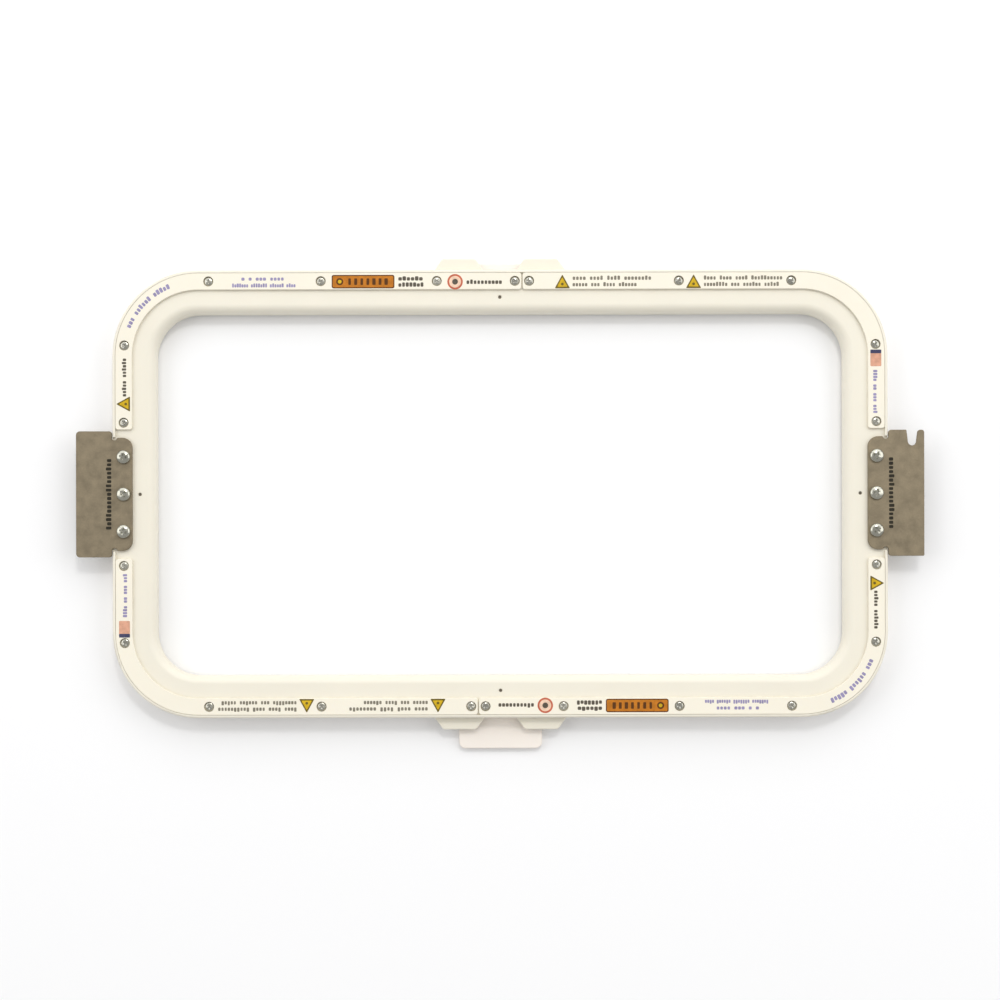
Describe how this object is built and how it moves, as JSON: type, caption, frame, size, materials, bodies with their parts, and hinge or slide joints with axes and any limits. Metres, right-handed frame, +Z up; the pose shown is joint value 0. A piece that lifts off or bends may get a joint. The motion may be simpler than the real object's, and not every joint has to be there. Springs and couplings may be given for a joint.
{
  "type": "magnetic embroidery hoop",
  "caption": "Rectangular two-ring magnetic embroidery hoop with machine brackets, screwed cover strips and a pull tab.",
  "frame": {"origin": "centre of the sewing field, on the surface that the hoop rests on", "axes": "+X to the operator's right, +Y towards the machine, +Z up from the resting face"},
  "size_m": [0.592, 0.3443, 0.0208],
  "materials": {
    "ring_cream": "satin moulded ABS",
    "bottom_cream": "satin moulded ABS",
    "strip_ivory": "semi-gloss sheet",
    "base_cover_cream": "satin sheet",
    "screw_steel": "bright zinc",
    "bracket_screw_zinc": "bright zinc",
    "bracket_steel": "bead-blasted stainless",
    "insert_brass": "turned brass",
    "magnet_nickel": "nickel plate"
  },
  "bodies": {
    "top_frame": {"top_ring": "ring_cream", "cover_strip_rear_left": "strip_ivory", "cover_screws_rear_left": "screw_steel", "top_magnets_rear_left": "magnet_nickel", "cover_strip_rear_right": "strip_ivory", "cover_screws_rear_right": "screw_steel", "top_magnets_rear_right": "magnet_nickel", "cover_strip_front_right": "strip_ivory", "cover_screws_front_right": "screw_steel", "top_magnets_front_right": "magnet_nickel", "cover_strip_front_left": "strip_ivory", "cover_screws_front_left": "screw_steel", "top_magnets_front_left": "magnet_nickel", "left_bracket": "bracket_steel", "left_bracket_screws": "bracket_screw_zinc", "left_bracket_inserts": "insert_brass", "right_bracket": "bracket_steel", "right_bracket_screws": "bracket_screw_zinc", "right_bracket_inserts": "insert_brass"},
    "bottom_frame": {"bottom_ring": "bottom_cream", "base_cover_rear_left": "base_cover_cream", "base_screws_rear_left": "screw_steel", "bottom_magnets_rear_left": "magnet_nickel", "base_cover_rear_right": "base_cover_cream", "base_screws_rear_right": "screw_steel", "bottom_magnets_rear_right": "magnet_nickel", "base_cover_front_right": "base_cover_cream", "base_screws_front_right": "screw_steel", "bottom_magnets_front_right": "magnet_nickel", "base_cover_front_left": "base_cover_cream", "base_screws_front_left": "screw_steel", "bottom_magnets_front_left": "magnet_nickel"}
  },
  "joints": [
    {"name": "top_ring_release", "type": "slide", "parent": "bottom_frame", "child": "top_frame", "axis": [0, 0, 1], "range_m": [0, 0.06], "stiffness_N_per_m": 400, "springref_m": -0.05}
  ]
}
